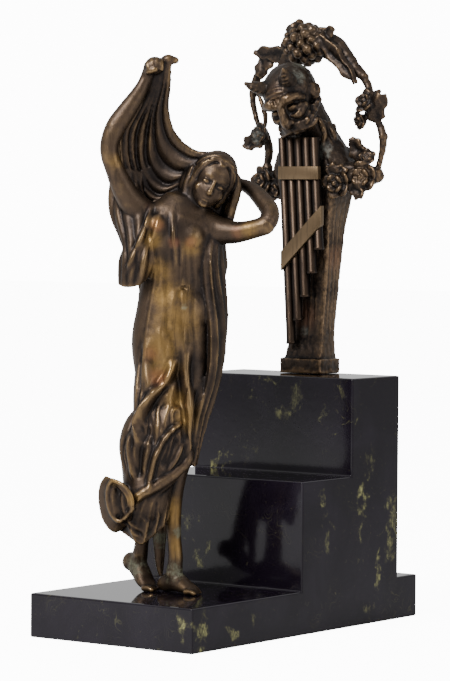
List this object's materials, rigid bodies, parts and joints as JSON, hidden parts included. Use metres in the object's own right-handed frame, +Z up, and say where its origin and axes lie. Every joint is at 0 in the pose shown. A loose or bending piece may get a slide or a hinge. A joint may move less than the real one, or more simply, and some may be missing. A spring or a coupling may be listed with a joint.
{
  "type": "tabletop sculpture",
  "caption": "Draped dancing woman and a horned pillar figure with pan pipes and vine wreath, in bronze on a stepped stone base.",
  "frame": {"origin": "middle of the base's flat underside", "axes": "+Z up, +X along the base from the low front step to the high rear step, Y across the steps"},
  "size_m": [0.195, 0.101, 0.313],
  "materials": {
    "aged_bronze": "brown patina rubbed to gold and copper on the high places, greenish in the hollows",
    "dark_bronze": "darker brown-black patina with gold edges",
    "rubbed_bronze": "brown patina rubbed bright on the pipes and bands",
    "dark_marble": "polished black stone with yellow-green veins and blotches"
  },
  "bodies": {
    "root": {"marble_base": "dark_marble", "nymph": "aged_bronze", "pan_herm": "dark_bronze", "pan_pipes": "rubbed_bronze"}
  },
  "joints": []
}
